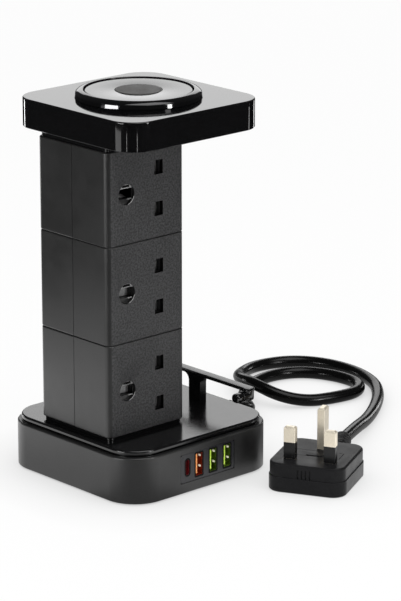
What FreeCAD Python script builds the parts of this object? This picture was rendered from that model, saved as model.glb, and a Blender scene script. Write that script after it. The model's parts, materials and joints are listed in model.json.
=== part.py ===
"""Tower power strip: three sockets in a column, a base with charging ports, a round charging pad on top,
a phone rest on the base's ledge, and a mains cord with a fused three-pin plug.

Millimetres. X to the right of the socket face, Y away from it, Z up. The origin is the middle of the base,
on the surface that its rubber feet stand on.
"""
import FreeCAD, Part
import math
import os

Vec = FreeCAD.Vector

# Base
base_side = 105.0
base_corner = 19.0
base_wall = 2.4
base_rim_z = 26.0
foot_drop = 0.8
foot_r = 6.0
foot_inset = 14.0
foot_pocket = 1.0
floor_plate_t = 2.0
shell_lip = 1.1
shell_lip_t = 2.0
cover_inset = 2.1
cover_top_z = 29.4
cover_band = 2.3
cover_tongue = 3.0
cover_bevel = 1.1
rim_bevel = 0.9
fit_gap = 0.25

# Column
column_x = -18.4
column_y = 1.5
column_wide = 53.4
column_deep = 56.1
column_corner = 3.6
column_wall = 2.4
module_pitch = 53.1
end_trim = 2.7
collar_h = 1.7
collar_inset = 1.2
seam_bevel = 0.45
wire_way_wide = 34.0
wire_way_deep = 20.0
wire_way_corner = 3.0
wire_way_back = 4.0
modules = 3
top_collar_h = 3.1

# Sockets: earth hole on the left, the two line slots one above the other on the right
socket_offset_x = -2.7
pin_pitch = 22.2
slot_wide = 5.9
slot_tall = 7.6
earth_ring_r = 5.5
earth_ring_deep = 2.0
earth_slot_wide = 9.4
earth_slot_tall = 5.4
socket_block_t = 5.2
socket_block_margin = 2.2

# Shutters behind the slots
shutter_t = 1.8
shutter_gap = 0.2
shutter_wide = 9.2
shutter_travel = 7.0
shutter_guide_t = 1.6
shutter_guide_h = 2.0
shutter_arm_tall = 5.0
shutter_arm_reach = 3.2
spring_strip = 0.4
spring_h = 3.0
spring_folds = 4

# Contacts, measured inwards from the socket face
frame_depth = 7.8
frame_t = 2.0
leaf_t = 0.8
leaf_pinch = 2.1
line_leaf_tall = 6.0
earth_leaf_wide = 7.0
live_depth = 20.0
neutral_depth = 21.6
earth_depth = 24.6
rail_edge = 3.2
rail_wide = 1.6

# Top plate and charging pad
top_side = 95.0
top_corner = 15.0
top_thick = 15.6
top_wall = 2.2
top_bevel = 0.8
top_floor_t = 2.0
ring_r = 33.6
ring_inner_r = 28.8
ring_h = 4.3
ring_shoulder = 1.8
ring_shoulder_mid = 0.53
pad_r = 28.4
pad_h = 3.7
pad_bevel = 0.5
pad_clear = 0.1
centre_r = 12.4
centre_sink = 0.8
centre_proud = 0.2
coil_r = 23.0
coil_inner_r = 9.0
coil_t = 1.4
top_boss_spread = 34.0
wire_hole_r = 5.0
charger_board_wide = 40.0
charger_board_deep = 30.0
chip_side = 7.5
chip_h = 1.5
charger_choke_r = 3.0
charger_choke_h = 5.0

# Charging ports on the base
panel_x = 0.9
panel_z = 14.4
panel_wide = 38.6
panel_tall = 16.0
panel_t = 1.6
panel_sink = 0.15
panel_corner = 1.2
port_z = 14.8
port_depth = 12.0
port_metal = 0.35
usb_a_wide = 5.4
usb_a_tall = 12.9
usb_a_xs = (-5.2, 4.9, 15.0)
usb_c_x = -13.4
usb_c_wide = 3.2
usb_c_tall = 9.2
tongue_t = 1.9
tongue_c_t = 0.8
tongue_back = 1.6
tongue_c_short = 1.6

# Supply board inside the base
board_wide = 38.0
board_deep = 66.0
board_y = 6.0
board_t = 1.6
board_stand = 4.0
board_post_inset = 3.0
transformer_side = 20.0
transformer_deep = 18.0
transformer_h = 10.0
capacitor_r = 5.0
capacitor_h = 11.0
capacitor_y = 22.0
choke_r = 4.0
choke_h = 7.0
choke_y = -20.0

# Phone rest
rest_x = 37.9
rest_y = -4.2
rest_bar_wide = 5.3
rest_bar_t = 2.0
rest_top_z = 46.0
rest_length = 87.0
rest_post_wide = 9.0
rest_post_deep = 4.6
rest_arm_reach = 12.0
rest_arm_wide = 5.4
rest_arm_drop = 7.0
rest_spigot_h = 3.5

# Screws
screw_r = 1.5
screw_head_r = 2.8
screw_head_t = 1.6
screw_l = 12.0
screw_boss_r = 4.0
screw_sink = 0.2
top_screw_shelf = 0.8
top_screw_sink = 0.1
top_screw_l = 10.0
boss_spread = 25.0

# Cord and its strain relief
cord_d = 7.0
cord_exit_y = 12.0
cord_exit_z = 11.5
relief_l = 26.0
relief_r0 = 6.4
relief_r1 = 4.6
relief_flange_r = 8.0
relief_flange_t = 1.6
relief_first_ring = 3.0
relief_rings = 5
relief_ring_pitch = 4.2
relief_ring_wide = 2.2
relief_ring_rise = 0.6
relief_inside = 2.0
cord_route = (
    (91.5, 12.5, 8.6),
    (103.0, 20.8, 4.0),
    (114.0, 34.0, 3.5),
    (128.0, 46.0, 3.5),
    (147.0, 52.0, 3.5),
    (167.0, 49.0, 3.5),
    (181.0, 36.0, 3.5),
    (184.0, 17.0, 3.5),
    (174.0, 1.0, 3.5),
    (155.0, -4.0, 3.5),
    (138.0, 2.0, 3.8),
    (127.5, 15.0, 7.5),
    (124.0, 32.0, 12.2),
    (127.0, 53.0, 12.2),
    (138.0, 69.0, 7.5),
    (157.0, 77.0, 3.6),
    (178.0, 72.0, 3.5),
    (193.0, 56.0, 3.5),
    (198.0, 34.0, 3.5),
    (193.0, 11.0, 3.5),
    (179.0, -8.0, 3.5),
    (161.0, -22.0, 3.5),
    (143.0, -33.0, 3.5),
    (126.0, -43.5, 4.6),
    (110.0, -52.6, 7.4),
)

# Plug, drawn with its pin face up and its cord end along +Y, then turned and set on the floor
plug_x = 40.0
plug_y = -90.0
plug_turn = -62.0
plug_wide = 43.0
plug_front = 11.5
plug_rear = 34.0
plug_h = 16.0
plug_split = 8.6
plug_corner = 8.0
plug_edge_r = 1.2
plug_step = 0.5
line_pin_wide = 6.35
line_pin_thick = 4.0
line_pin_l = 17.7
earth_pin_wide = 8.0
earth_pin_l = 22.7
pin_root = 5.0
pin_bevel = 0.8
sleeve_l = 9.0
sleeve_t = 0.45
fuse_r = 3.15
fuse_l = 25.4
carrier_wide = 28.0
carrier_deep = 9.0
carrier_y = 10.6
carrier_h = 8.2
carrier_gap = 0.2
carrier_notch_wide = 9.0
carrier_notch_deep = 1.6
carrier_notch_h = 1.2
carrier_floor = 0.8
relief_block_l = 12.0
relief_block_wide = 14.0
relief_block_tall = 12.5
relief_block_corner = 3.0
block_grooves = 3
block_groove_first = 2.6
block_groove_pitch = 3.4
block_groove_wide = 1.4
block_groove_deep = 1.2
plug_cone_l = 15.0
plug_cone_r = 5.4
plug_rings = 4
plug_ring_first = 1.2
plug_ring_pitch = 3.4
plug_ring_wide = 1.8
plug_ring_rise = 0.6
grip_ribs = 4
grip_pitch = 2.2
grip_wide = 0.9
grip_deep = 0.6
grip_start = -4.0
grip_top = 2.6
grip_bottom = 9.9

# Places worked out from the sizes above
half_base = base_side / 2.0
foot_z = cover_top_z
column_z = foot_z + collar_h
socket_face_y = column_y - column_deep / 2.0
socket_x = column_x + socket_offset_x
earth_x = socket_x - pin_pitch / 2.0
slot_x = socket_x + pin_pitch / 2.0
column_top_z = column_z + modules * module_pitch - 2.0 * end_trim
top_under_z = column_top_z + top_collar_h
top_z = top_under_z + top_thick
pad_top_z = top_z + pad_h
cord_start = Vec(half_base + relief_l, cord_exit_y, cord_exit_z)


def rounded_face(wide, deep, corner, z, x=0.0, y=0.0):
    """A flat face with four round corners, centred on x, y."""
    a, b, c = wide / 2.0, deep / 2.0, corner
    k = c * (1.0 - math.sqrt(0.5))
    points = [(-a + c, -b), (a - c, -b), (a - k, -b + k), (a, -b + c), (a, b - c), (a - k, b - k),
              (a - c, b), (-a + c, b), (-a + k, b - k), (-a, b - c), (-a, -b + c), (-a + k, -b + k)]
    p = [Vec(x + u, y + v, z) for u, v in points]
    edges = []
    for i in (0, 3, 6, 9):
        edges.append(Part.LineSegment(p[i], p[i + 1]).toShape())
        edges.append(Part.Arc(p[i + 1], p[i + 2], p[(i + 3) % 12]).toShape())
    return Part.Face(Part.Wire(edges))


def rounded_block(wide, deep, corner, z0, z1, x=0.0, y=0.0):
    return rounded_face(wide, deep, corner, z0, x, y).extrude(Vec(0, 0, z1 - z0))


def box(x0, x1, y0, y1, z0, z1):
    return Part.makeBox(x1 - x0, y1 - y0, z1 - z0, Vec(x0, y0, z0))


def post(radius, z0, z1, x=0.0, y=0.0):
    return Part.makeCylinder(radius, z1 - z0, Vec(x, y, z0))


def ring(outer, inner, z0, z1, x=0.0, y=0.0):
    return post(outer, z0, z1, x, y).cut(post(inner, z0, z1, x, y))


def edges_at(shape, z, tolerance=0.01):
    """The edges of a shape that lie flat at one height."""
    return [e for e in shape.Edges
            if abs(e.BoundBox.ZMin - z) < tolerance and abs(e.BoundBox.ZMax - z) < tolerance]


def fused(shapes):
    body = shapes[0]
    for shape in shapes[1:]:
        body = body.fuse(shape)
    return body.removeSplitter()


def turned(points):
    """A solid turned about the Z axis from points given as radius and height."""
    corners = [Vec(r, 0, z) for r, z in points]
    face = Part.Face(Part.makePolygon(corners + [corners[0]]))
    return face.revolve(Vec(0, 0, 0), Vec(0, 0, 1), 360.0)


def ringed_cone(r0, r1, length, first, count, pitch, wide, rise):
    """Profile of a cone with raised rings, as points from its wide end to its narrow one."""
    points = [(r0, 0.0)]
    for k in range(count):
        for z, up in ((0.0, 0.0), (0.0, rise), (wide, rise), (wide, 0.0)):
            at = first + k * pitch + z
            points.append((r0 + (r1 - r0) * at / length + up, at))
    return points + [(r1, length)]


def corner_places(spread):
    return [(sx * spread, sy * spread) for sx in (-1, 1) for sy in (-1, 1)]


nodes = {}

# Base shell: a skirt with a rounded rim and an inner lip, open below
inner_side = base_side - 2.0 * base_wall
lip_side = inner_side - 2.0 * shell_lip
inner_corner = base_corner - base_wall
lip_corner = inner_corner - shell_lip
skirt = rounded_block(base_side, base_side, base_corner, foot_drop, base_rim_z)
skirt = skirt.makeChamfer(rim_bevel, edges_at(skirt, base_rim_z))
skirt = skirt.cut(rounded_block(inner_side, inner_side, inner_corner, foot_drop, base_rim_z - shell_lip_t))
skirt = skirt.cut(rounded_block(lip_side, lip_side, lip_corner, base_rim_z - shell_lip_t, base_rim_z))
panel_cut = box(panel_x - panel_wide / 2.0, panel_x + panel_wide / 2.0, -half_base, -half_base + base_wall,
                panel_z - panel_tall / 2.0, panel_z + panel_tall / 2.0)
skirt = skirt.cut(panel_cut)
gland_hole_r = relief_r0 + fit_gap
gland_hole = Part.makeCylinder(gland_hole_r, base_wall, Vec(half_base - base_wall, cord_exit_y, cord_exit_z),
                               Vec(1, 0, 0))
nodes["base_shell"] = skirt.cut(gland_hole)

# Base cover: a raised lid whose tongue drops inside the shell's lip
tongue_side = lip_side - 2.0 * fit_gap
tongue_corner = lip_corner - fit_gap
cover_side = base_side - 2.0 * cover_inset
band_z = cover_top_z - cover_band
lid = rounded_block(cover_side, cover_side, base_corner - cover_inset, band_z, cover_top_z)
lid = lid.makeChamfer(cover_bevel, edges_at(lid, cover_top_z))
tongue_z = base_rim_z - cover_tongue
tongue = rounded_block(tongue_side, tongue_side, tongue_corner, tongue_z, band_z)
tongue = tongue.cut(rounded_block(tongue_side - 2.0 * base_wall, tongue_side - 2.0 * base_wall,
                                  tongue_corner - base_wall, tongue_z, band_z))
boss_base_z = foot_drop + floor_plate_t
cover_parts = [lid, tongue]
for bx, by in corner_places(boss_spread):
    cover_parts.append(post(screw_boss_r, boss_base_z, band_z, bx, by))
cover = fused(cover_parts)
for bx, by in corner_places(boss_spread):
    cover = cover.cut(post(screw_r, boss_base_z, boss_base_z + screw_l, bx, by))
wire_way_y = column_y + wire_way_back
wire_way = rounded_block(wire_way_wide, wire_way_deep, wire_way_corner, band_z, cover_top_z, column_x, wire_way_y)
rest_hole = rounded_block(rest_post_deep, rest_post_wide, 1.2, cover_top_z - rest_spigot_h, cover_top_z,
                          rest_x, rest_y)
nodes["base_cover"] = cover.cut(wire_way).cut(rest_hole)

# Bottom plate, with the rubber feet in its pockets and the screws sunk in it
plate_side = inner_side - 2.0 * fit_gap
pocket_z = foot_drop + foot_pocket
foot_spread = half_base - foot_inset
board_z = boss_base_z + board_stand
bottom_parts = [rounded_block(plate_side, plate_side, inner_corner - fit_gap, foot_drop, boss_base_z)]
for sx, sy in corner_places(1.0):
    bottom_parts.append(post(screw_r, boss_base_z, board_z, sx * (board_wide / 2.0 - board_post_inset),
                             board_y + sy * (board_deep / 2.0 - board_post_inset)))
bottom = fused(bottom_parts)
feet = []
for fx, fy in corner_places(foot_spread):
    bottom = bottom.cut(post(foot_r, foot_drop, pocket_z, fx, fy))
    feet.append(post(foot_r, 0.0, pocket_z, fx, fy))
base_screws = []
head_z = foot_drop + screw_sink
for bx, by in corner_places(boss_spread):
    bottom = bottom.cut(post(screw_head_r + fit_gap, foot_drop, head_z + screw_head_t, bx, by))
    bottom = bottom.cut(post(screw_r, foot_drop, boss_base_z, bx, by))
    base_screws.append(post(screw_head_r, head_z, head_z + screw_head_t, bx, by).fuse(
        post(screw_r, head_z + screw_head_t, boss_base_z + screw_l, bx, by)))
nodes["base_bottom_plate"] = bottom
nodes["rubber_feet"] = Part.makeCompound(feet)
nodes["base_screws"] = Part.makeCompound(base_screws)

# Supply board in the base: the board, its transformer, coil and two round capacitors
supply = [box(-board_wide / 2.0, board_wide / 2.0, board_y - board_deep / 2.0, board_y + board_deep / 2.0,
              board_z, board_z + board_t)]
part_z = board_z + board_t
supply.append(box(-transformer_side / 2.0, transformer_side / 2.0, board_y - transformer_deep / 2.0,
                  board_y + transformer_deep / 2.0, part_z, part_z + transformer_h))
for side in (-1, 1):
    supply.append(post(capacitor_r, part_z, part_z + capacitor_h, side * (capacitor_r + port_metal + 2.0 * fit_gap),
                       board_y + capacitor_y))
supply.append(post(choke_r, part_z, part_z + choke_h, choke_r * 2.0, board_y + choke_y))
nodes["supply_board"] = fused(supply)

# Charging ports: a thin panel in the skirt, four metal mouths with their tongues, and the board behind
face_y = -half_base + panel_sink
panel_face = rounded_block(panel_wide - 2.0 * fit_gap, panel_tall - 2.0 * fit_gap, panel_corner, 0.0, panel_t)
panel_face.rotate(Vec(0, 0, 0), Vec(1, 0, 0), 90.0)
panel_face.translate(Vec(panel_x, face_y + panel_t, panel_z))
port_back = face_y + port_depth


def port_block(x, wide, tall, y0, y1):
    """A block behind the panel for one port, centred on the ports' height."""
    return box(x - wide / 2.0, x + wide / 2.0, y0, y1, port_z - tall / 2.0, port_z + tall / 2.0)


def port_mouth(x, wide, tall):
    """A folded metal box, open at the front and closed at its back."""
    outer = port_block(x, wide, tall, face_y, port_back)
    inner = port_block(x, wide - 2.0 * port_metal, tall - 2.0 * port_metal, face_y, port_back - port_metal)
    return outer.cut(inner)


mouths = []
for x in usb_a_xs:
    panel_face = panel_face.cut(port_block(x, usb_a_wide, usb_a_tall, face_y - 1.0, port_back))
    mouths.append(port_mouth(x, usb_a_wide, usb_a_tall))
slot_c = rounded_block(usb_c_wide, usb_c_tall, usb_c_wide / 2.0 - 0.01, 0.0, port_depth)
slot_c.rotate(Vec(0, 0, 0), Vec(1, 0, 0), 90.0)
slot_c.translate(Vec(usb_c_x, port_back, port_z))
hollow_c = rounded_block(usb_c_wide - 2.0 * port_metal, usb_c_tall - 2.0 * port_metal,
                         usb_c_wide / 2.0 - port_metal - 0.01, 0.0, port_depth - port_metal)
hollow_c.rotate(Vec(0, 0, 0), Vec(1, 0, 0), 90.0)
hollow_c.translate(Vec(usb_c_x, port_back - port_metal, port_z))
panel_face = panel_face.cut(slot_c)
nodes["port_panel"] = panel_face
nodes["usb_a_mouths"] = Part.makeCompound(mouths)
nodes["usb_c_mouth"] = slot_c.cut(hollow_c)


def tongue_at(x, wide, mouth_wide, mouth_tall, on_side):
    """The insulating tongue of a port, set against one long side of its mouth."""
    clear = port_metal + 0.1
    x0 = x - mouth_wide / 2.0 + clear if on_side else x - wide / 2.0
    tall = mouth_tall - 2.0 * clear
    return box(x0, x0 + wide, face_y + tongue_back, port_back - port_metal, port_z - tall / 2.0,
               port_z + tall / 2.0)


tongues = [tongue_at(x, tongue_t, usb_a_wide, usb_a_tall, True) for x in usb_a_xs]
nodes["usb_a_tongue_fast"] = tongues[0]
nodes["usb_a_tongues"] = Part.makeCompound(tongues[1:])
nodes["usb_c_tongue"] = tongue_at(usb_c_x, tongue_c_t, usb_c_wide, usb_c_tall - tongue_c_short, False)
port_board = box(panel_x - panel_wide / 2.0, panel_x + panel_wide / 2.0, port_back, port_back + board_t,
                 boss_base_z, band_z - cover_tongue)
nodes["port_board"] = port_board

# Column: foot collar, three modules of two half shells each, top collar
collar_wide = column_wide - 2.0 * collar_inset
collar_deep = column_deep - 2.0 * collar_inset
collar_corner = column_corner - collar_inset
collar_hole = rounded_block(wire_way_wide, wire_way_deep, wire_way_corner, foot_z, top_z, column_x, wire_way_y)


def collar(z0, z1):
    block = rounded_block(collar_wide, collar_deep, collar_corner, z0, z1, column_x, column_y)
    return block.cut(collar_hole)


nodes["foot_collar"] = collar(foot_z, column_z)
nodes["top_collar"] = collar(column_top_z, top_under_z)


def module_span(i):
    """Lower and upper ends of one module, counted from the bottom."""
    low = column_z + i * module_pitch - (end_trim if i > 0 else 0.0)
    high = column_z + (i + 1) * module_pitch - end_trim - (end_trim if i == modules - 1 else 0.0)
    return low, high


def socket_z(i):
    return column_z + (i + 0.5) * module_pitch - end_trim


def slot_places(i):
    """Heights of the upper and lower slots of one socket."""
    return socket_z(i) + pin_pitch / 2.0, socket_z(i) - pin_pitch / 2.0


def depth_box(x0, x1, d0, d1, z0, z1):
    """A box between two depths behind the socket face."""
    return box(x0, x1, socket_face_y + d0, socket_face_y + d1, z0, z1)


def module_tube(low, high):
    tube = rounded_block(column_wide, column_deep, column_corner, low, high, column_x, column_y)
    tube = tube.makeChamfer(seam_bevel, edges_at(tube, low) + edges_at(tube, high))
    inner = rounded_block(column_wide - 2.0 * column_wall, column_deep - 2.0 * column_wall,
                          column_corner - column_wall, low, high, column_x, column_y)
    return tube.cut(inner)


guide_x0 = slot_x - shutter_wide / 2.0 - 1.0
guide_x1 = slot_x + shutter_wide / 2.0 + shutter_travel + 1.0
shutter_half = pin_pitch / 2.0 + slot_tall / 2.0 + 1.2
shutter_d0 = socket_block_t + shutter_gap
shutter_d1 = shutter_d0 + shutter_t


def socket_block(i):
    """Inner block behind the wall of one socket, with the two guides that its shutter runs between."""
    z = socket_z(i)
    half = shutter_half + shutter_gap + shutter_guide_t
    block = depth_box(earth_x - earth_ring_r - socket_block_margin, slot_x + slot_wide / 2.0 + socket_block_margin,
                      column_wall, socket_block_t, z - half, z + half)
    upper = depth_box(guide_x0, guide_x1, column_wall, shutter_d1 + shutter_gap, z + half - shutter_guide_t, z + half)
    lower = depth_box(guide_x0, guide_x1, column_wall, shutter_d1 + shutter_gap, z - half, z - half + shutter_guide_t)
    return fused([block, upper, lower])


def socket_holes(i):
    z = socket_z(i)
    earth = Part.makeCylinder(earth_ring_r, earth_ring_deep, Vec(earth_x, socket_face_y, z), Vec(0, 1, 0))
    holes = [earth, depth_box(earth_x - earth_slot_wide / 2.0, earth_x + earth_slot_wide / 2.0, 0.0,
                              socket_block_t, z - earth_slot_tall / 2.0, z + earth_slot_tall / 2.0)]
    for slot in slot_places(i):
        holes.append(depth_box(slot_x - slot_wide / 2.0, slot_x + slot_wide / 2.0, 0.0, socket_block_t,
                               slot - slot_tall / 2.0, slot + slot_tall / 2.0))
    return holes


reach = base_side
for i in range(modules):
    low, high = module_span(i)
    tube = module_tube(low, high)
    front_half = box(column_x - reach, column_x + reach, column_y - reach, column_y, low, high)
    back_half = box(column_x - reach, column_x + reach, column_y, column_y + reach, low, high)
    front = tube.common(front_half)
    block = socket_block(i)
    for hole in socket_holes(i):
        front = front.cut(hole)
        block = block.cut(hole)
    nodes["front_shell_%d" % (i + 1)] = front
    nodes["socket_block_%d" % (i + 1)] = block
    nodes["back_shell_%d" % (i + 1)] = tube.common(back_half)


# Shutters: a plate over both slots, with a ramped arm behind the earth hole
def shutter(i):
    z = socket_z(i)
    plate = depth_box(slot_x - shutter_wide / 2.0, slot_x + shutter_wide / 2.0, shutter_d0, shutter_d1,
                      z - shutter_half, z + shutter_half)
    arm_end = earth_x - shutter_arm_reach
    y0 = socket_face_y + shutter_d0
    y1 = socket_face_y + shutter_d1
    half = shutter_arm_tall / 2.0
    outline = [(arm_end, y1), (arm_end, y1 - 0.4), (arm_end + shutter_travel * 0.8, y0), (slot_x, y0), (slot_x, y1)]
    corners = [Vec(x, y, z - half) for x, y in outline]
    arm = Part.Face(Part.makePolygon(corners + [corners[0]])).extrude(Vec(0, 0, shutter_arm_tall))
    return plate.fuse(arm).removeSplitter()


def folded_spring(i):
    """A folded strip between the shutter's edge and the wall of the shell, seen from above as a zigzag."""
    z = socket_z(i)
    x0 = slot_x + shutter_wide / 2.0 + 0.1
    x1 = column_x + column_wide / 2.0 - column_wall - 0.1
    step = (x1 - x0 - spring_strip) / (2 * spring_folds)
    swing = spring_h / 2.0
    middle = socket_face_y + (shutter_d0 + shutter_d1) / 2.0
    strips = []
    for k in range(2 * spring_folds):
        up = 1.0 if k % 2 else -1.0
        a = Vec(x0 + k * step, middle - up * shutter_t / 2.0, z - swing)
        b = Vec(x0 + (k + 1) * step, middle + up * shutter_t / 2.0, z - swing)
        wide = Vec(spring_strip, 0, 0)
        strips.append(Part.Face(Part.makePolygon([a, a + wide, b + wide, b, a])).extrude(Vec(0, 0, spring_h)))
    return fused(strips)


for i in range(modules):
    nodes["shutter_%d" % (i + 1)] = shutter(i)
    nodes["shutter_spring_%d" % (i + 1)] = folded_spring(i)

# Inner frame behind the shutters, with the ribs that hold the contact rails
frame_d1 = frame_depth + frame_t
rail_z0 = column_z + 3.0
rail_z1 = column_top_z - 3.0
half_leaf = line_leaf_tall / 2.0
frame_x0 = column_x - column_wide / 2.0 + column_wall + fit_gap
frame_x1 = column_x + column_wide / 2.0 - column_wall - fit_gap
frame_plate = depth_box(frame_x0, frame_x1, frame_depth, frame_d1, rail_z0, rail_z1)
frame_parts = [frame_plate]
rib_zs = [column_z + i * module_pitch - end_trim for i in range(1, modules)]
for z in rib_zs:
    frame_parts.append(depth_box(slot_x - rail_edge - rail_wide, slot_x + rail_edge + rail_wide, frame_depth,
                                 live_depth - 0.1, z - 3.0, z + 3.0))
    frame_parts.append(depth_box(slot_x + rail_edge, slot_x + rail_edge + rail_wide, frame_depth,
                                 neutral_depth - 0.1, z - 3.0, z + 3.0))
    frame_parts.append(depth_box(earth_x - rail_edge, earth_x + rail_edge, frame_depth, earth_depth - 0.1,
                                 z - 3.0, z + 3.0))
inner_frame = fused(frame_parts)
for i in range(modules):
    z = socket_z(i)
    for slot in slot_places(i):
        inner_frame = inner_frame.cut(depth_box(slot_x - slot_wide / 2.0, slot_x + slot_wide / 2.0, frame_depth,
                                                frame_d1, slot - slot_tall / 2.0, slot + slot_tall / 2.0))
    inner_frame = inner_frame.cut(depth_box(earth_x - earth_slot_wide / 2.0, earth_x + earth_slot_wide / 2.0,
                                            frame_depth, frame_d1, z - earth_slot_tall / 2.0,
                                            z + earth_slot_tall / 2.0))
nodes["inner_frame"] = inner_frame


# Contact rails: a strip the height of the column, with a pair of leaves behind every slot it serves
def line_rail(depth, side, serves_upper):
    """Live or neutral rail. The strip runs beside the slots, on the side given as -1 or 1."""
    strip_a = slot_x + side * rail_edge
    strip_b = slot_x + side * (rail_edge + rail_wide)
    parts = [depth_box(min(strip_a, strip_b), max(strip_a, strip_b), depth, depth + leaf_t, rail_z0, rail_z1)]
    for i in range(modules):
        z = slot_places(i)[0 if serves_upper else 1]
        parts.append(depth_box(min(slot_x - side * (leaf_pinch + leaf_t), strip_b),
                               max(slot_x - side * (leaf_pinch + leaf_t), strip_b),
                               depth, depth + leaf_t, z - half_leaf, z + half_leaf))
        for edge in (-1, 1):
            a = slot_x + edge * leaf_pinch
            b = slot_x + edge * (leaf_pinch + leaf_t)
            parts.append(depth_box(min(a, b), max(a, b), frame_d1 + 0.1, depth, z - half_leaf, z + half_leaf))
    return fused(parts)


def earth_rail():
    parts = [depth_box(earth_x - rail_wide, earth_x + rail_wide, earth_depth, earth_depth + leaf_t, rail_z0, rail_z1)]
    for i in range(modules):
        z = socket_z(i)
        reach_z = leaf_pinch + leaf_t
        half = earth_leaf_wide / 2.0
        parts.append(depth_box(earth_x - half, earth_x + half, earth_depth, earth_depth + leaf_t,
                               z - reach_z, z + reach_z))
        for edge in (-1, 1):
            a = z + edge * leaf_pinch
            b = z + edge * reach_z
            parts.append(depth_box(earth_x - half, earth_x + half, frame_d1 + 0.1, earth_depth, min(a, b), max(a, b)))
    return fused(parts)


nodes["live_rail"] = line_rail(live_depth, -1, True)
nodes["neutral_rail"] = line_rail(neutral_depth, 1, False)
nodes["earth_rail"] = earth_rail()

# Top plate: a hollow tray turned over, its under cover, and the stack of the charging pad
tray = rounded_block(top_side, top_side, top_corner, top_under_z, top_z)
tray = tray.makeChamfer(top_bevel, edges_at(tray, top_z))
tray = tray.cut(rounded_block(top_side - 2.0 * top_wall, top_side - 2.0 * top_wall, top_corner - top_wall,
                              top_under_z, top_z - top_wall))
tray_parts = [tray]
for bx, by in corner_places(top_boss_spread):
    tray_parts.append(post(screw_boss_r, top_under_z + top_floor_t, top_z - top_wall, bx, by))
tray = fused(tray_parts)
under_side = top_side - 2.0 * (top_wall + fit_gap)
under = rounded_block(under_side, under_side, top_corner - top_wall - fit_gap, top_under_z,
                      top_under_z + top_floor_t)
under = under.cut(collar_hole)
top_screws = []
for bx, by in corner_places(top_boss_spread):
    screw_z = top_under_z + top_floor_t - top_screw_shelf
    tray = tray.cut(post(screw_r, top_under_z + top_floor_t, top_under_z + top_screw_l, bx, by))
    under = under.cut(post(screw_head_r + fit_gap, top_under_z, screw_z, bx, by))
    under = under.cut(post(screw_r, top_under_z, top_under_z + top_floor_t, bx, by))
    top_screws.append(post(screw_head_r, top_under_z + top_screw_sink, screw_z, bx, by).fuse(
        post(screw_r, screw_z, top_under_z + top_screw_l, bx, by)))
tray = tray.cut(post(wire_hole_r, top_z - top_wall, top_z))
nodes["top_tray"] = tray
nodes["top_under_cover"] = under
nodes["top_screws"] = Part.makeCompound(top_screws)

# Charger ring: a rounded shoulder outside, a short lip inside
ring_top = top_z + ring_h
nodes["charger_ring"] = turned([(ring_r, top_z), (ring_r, ring_top - ring_shoulder),
                                (ring_r - ring_shoulder_mid, ring_top - ring_shoulder_mid),
                                (ring_r - ring_shoulder, ring_top), (ring_inner_r, ring_top), (ring_inner_r, top_z)])

# Charging pad, with the coil in its hollow and the board under the tray's roof
coil_top_z = top_z + coil_t
centre_z = pad_top_z - centre_sink
pad = post(pad_r, top_z, pad_top_z)
pad = pad.makeChamfer(pad_bevel, edges_at(pad, pad_top_z))
pad = pad.cut(post(coil_r + fit_gap, top_z, coil_top_z + pad_clear))
nodes["charger_pad"] = pad.cut(post(centre_r + pad_clear, centre_z, pad_top_z))
nodes["centre_pad"] = post(centre_r, centre_z, pad_top_z + centre_proud)
nodes["charging_coil"] = ring(coil_r, coil_inner_r, top_z, coil_top_z)
board_top = top_z - top_wall
board_under = board_top - board_t
chip_x = charger_board_wide / 4.0
chip_y = charger_board_deep / 4.0
charger_parts = [box(-charger_board_wide / 2.0, charger_board_wide / 2.0, -charger_board_deep / 2.0,
                     charger_board_deep / 2.0, board_under, board_top)]
for x in (-chip_x, chip_x):
    charger_parts.append(box(x - chip_side / 2.0, x + chip_side / 2.0, -chip_y - chip_side / 2.0,
                             -chip_y + chip_side / 2.0, board_under - chip_h, board_under))
charger_parts.append(post(charger_choke_r, board_under - charger_choke_h, board_under, chip_x, chip_y))
nodes["charger_board"] = fused(charger_parts).cut(post(wire_hole_r, board_under, board_top))

# Phone rest: a waisted post in the base cover, and a bar with an arm at each end that points to the column
bar_z0 = rest_top_z - rest_bar_t
foot_half = rest_post_wide / 2.0
flare = 4.0


def rest_post():
    """Post seen from the column side: straight edges that flare out under the bar."""
    w, z0, z1 = foot_half, cover_top_z - rest_spigot_h, bar_z0
    bend = flare * (1.0 - math.sqrt(0.5))
    p = [Vec(0, -w, z0), Vec(0, w, z0), Vec(0, w, z1 - flare), Vec(0, w + bend, z1 - bend), Vec(0, w + flare, z1),
         Vec(0, -w - flare, z1), Vec(0, -w - bend, z1 - bend), Vec(0, -w, z1 - flare)]
    edges = [Part.makeLine(p[0], p[1]), Part.makeLine(p[1], p[2]), Part.Arc(p[2], p[3], p[4]).toShape(),
             Part.makeLine(p[4], p[5]), Part.Arc(p[5], p[6], p[7]).toShape(), Part.makeLine(p[7], p[0])]
    solid = Part.Face(Part.Wire(edges)).extrude(Vec(rest_post_deep, 0, 0))
    solid.translate(Vec(rest_x - rest_post_deep / 2.0, rest_y, 0))
    spigot = rounded_block(rest_post_deep - 2.0 * 0.1, rest_post_wide - 2.0 * 0.1, 1.1, z0, cover_top_z, rest_x, rest_y)
    upper = solid.common(box(0, half_base, -half_base, half_base, cover_top_z, rest_top_z))
    return upper.fuse(spigot).removeSplitter()


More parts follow.
